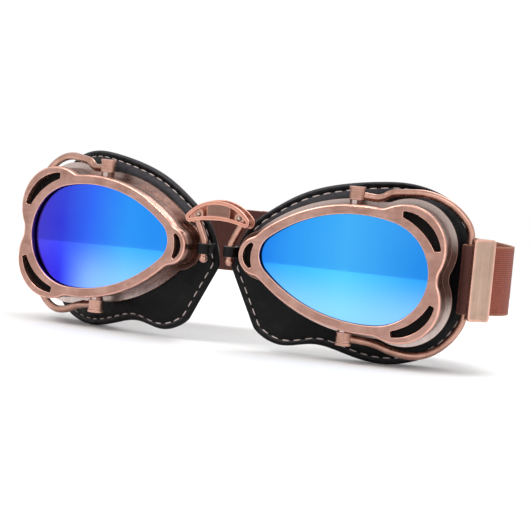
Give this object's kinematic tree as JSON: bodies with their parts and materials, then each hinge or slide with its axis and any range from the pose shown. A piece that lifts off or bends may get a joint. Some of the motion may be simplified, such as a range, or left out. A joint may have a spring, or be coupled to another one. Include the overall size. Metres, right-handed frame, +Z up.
{
  "type": "motorcycle goggles",
  "caption": "Split-frame vintage motorcycle goggles with egg-shaped mirrored lenses, vented metal bezels, leather face pads, wire bails and an elastic head strap.",
  "frame": {"origin": "on the mid-plane between the eyecups, level with the lens centres and with the middles of the bezels' front faces", "axes": "+X to the wearer's left, +Z up, and the goggles face -Y, so the wearer's head is on the +Y side"},
  "size_m": [0.21, 0.1249, 0.0713],
  "materials": {
    "copper_trim": "brushed antique copper plate, paler where the edges are rubbed",
    "copper_cup": "satin antique copper plate, darker in the hollows",
    "copper_clamp": "cross-brushed antique copper plate",
    "copper_bridge": "brushed aged copper plate",
    "lens_mirror": "polished polycarbonate with a blue mirror coating",
    "gasket_rubber": "matt black",
    "vent_mesh": "black mesh",
    "screw_steel": "satin",
    "pad_leather": "fine-grained black leather with pale stitching",
    "face_foam": "velour-faced open-cell foam",
    "strap_webbing": "reddish brown woven elastic"
  },
  "bodies": {
    "bridge": {"bridge_front": "copper_trim", "bridge_back": "copper_trim", "bridge_inlay": "copper_bridge", "bridge_pins": "screw_steel"},
    "leg_right": {"bridge_leg_right": "copper_trim"},
    "cup_right": {"bezel_right": "copper_trim", "lens_right": "lens_mirror", "lens_gasket_right": "gasket_rubber", "cup_shell_right": "copper_cup", "vent_screens_right": "vent_mesh", "bezel_screws_right": "screw_steel", "pivot_studs_right": "copper_trim", "leather_pad_right": "pad_leather", "face_foam_right": "face_foam", "nose_tab_right": "pad_leather"},
    "bail_right": {"bail_right": "copper_trim"},
    "strap_right": {"strap_clamp_right": "copper_clamp", "strap_right": "strap_webbing"},
    "leg_left": {"bridge_leg_left": "copper_trim"},
    "cup_left": {"bezel_left": "copper_trim", "lens_left": "lens_mirror", "lens_gasket_left": "gasket_rubber", "cup_shell_left": "copper_cup", "vent_screens_left": "vent_mesh", "bezel_screws_left": "screw_steel", "pivot_studs_left": "copper_trim", "leather_pad_left": "pad_leather", "face_foam_left": "face_foam", "nose_tab_left": "pad_leather"},
    "bail_left": {"bail_left": "copper_trim"},
    "strap_left": {"strap_clamp_left": "copper_clamp", "strap_left": "strap_webbing"},
    "slider": {"strap_slider": "copper_clamp"}
  },
  "joints": [
    {"name": "leg_right_swing", "type": "hinge", "parent": "bridge", "child": "leg_right", "pos_m": [0.0087, -0.0006, 0.0132], "axis": [0, -1, 0], "range_deg": [-4, 4]},
    {"name": "cup_right_fold", "type": "hinge", "parent": "leg_right", "child": "cup_right", "pos_m": [0.0056, -0.0006, 0], "axis": [0, 0, 1], "range_deg": [-2, 6]},
    {"name": "bail_right_swing", "type": "hinge", "parent": "cup_right", "child": "bail_right", "pos_m": [0.05336, 0.0061, 0], "axis": [0, 0, 1], "range_deg": [-6, 8]},
    {"name": "strap_right_turn", "type": "hinge", "parent": "bail_right", "child": "strap_right", "pos_m": [0.09369, 0.02782, -0.0015], "axis": [0, 0, 1], "range_deg": [-6, 6]},
    {"name": "leg_left_swing", "type": "hinge", "parent": "bridge", "child": "leg_left", "pos_m": [-0.0087, -0.0006, 0.0132], "axis": [0, 1, 0], "range_deg": [-4, 4]},
    {"name": "cup_left_fold", "type": "hinge", "parent": "leg_left", "child": "cup_left", "pos_m": [-0.0056, -0.0006, 0], "axis": [0, 0, -1], "range_deg": [-2, 6]},
    {"name": "bail_left_swing", "type": "hinge", "parent": "cup_left", "child": "bail_left", "pos_m": [-0.05336, 0.0061, 0], "axis": [0, 0, -1], "range_deg": [-6, 8]},
    {"name": "strap_left_turn", "type": "hinge", "parent": "bail_left", "child": "strap_left", "pos_m": [-0.09369, 0.02782, -0.0015], "axis": [0, 0, -1], "range_deg": [-6, 6]},
    {"name": "slider_slide", "type": "slide", "parent": "strap_right", "child": "slider", "axis": [1, 0, 0], "range_m": [-0.006, 0.006]}
  ],
  "couplings": [
    {"joint": "strap_right_turn", "follows": "bail_right_swing", "ratio": -0.575},
    {"joint": "strap_left_turn", "follows": "bail_left_swing", "ratio": -0.575}
  ]
}
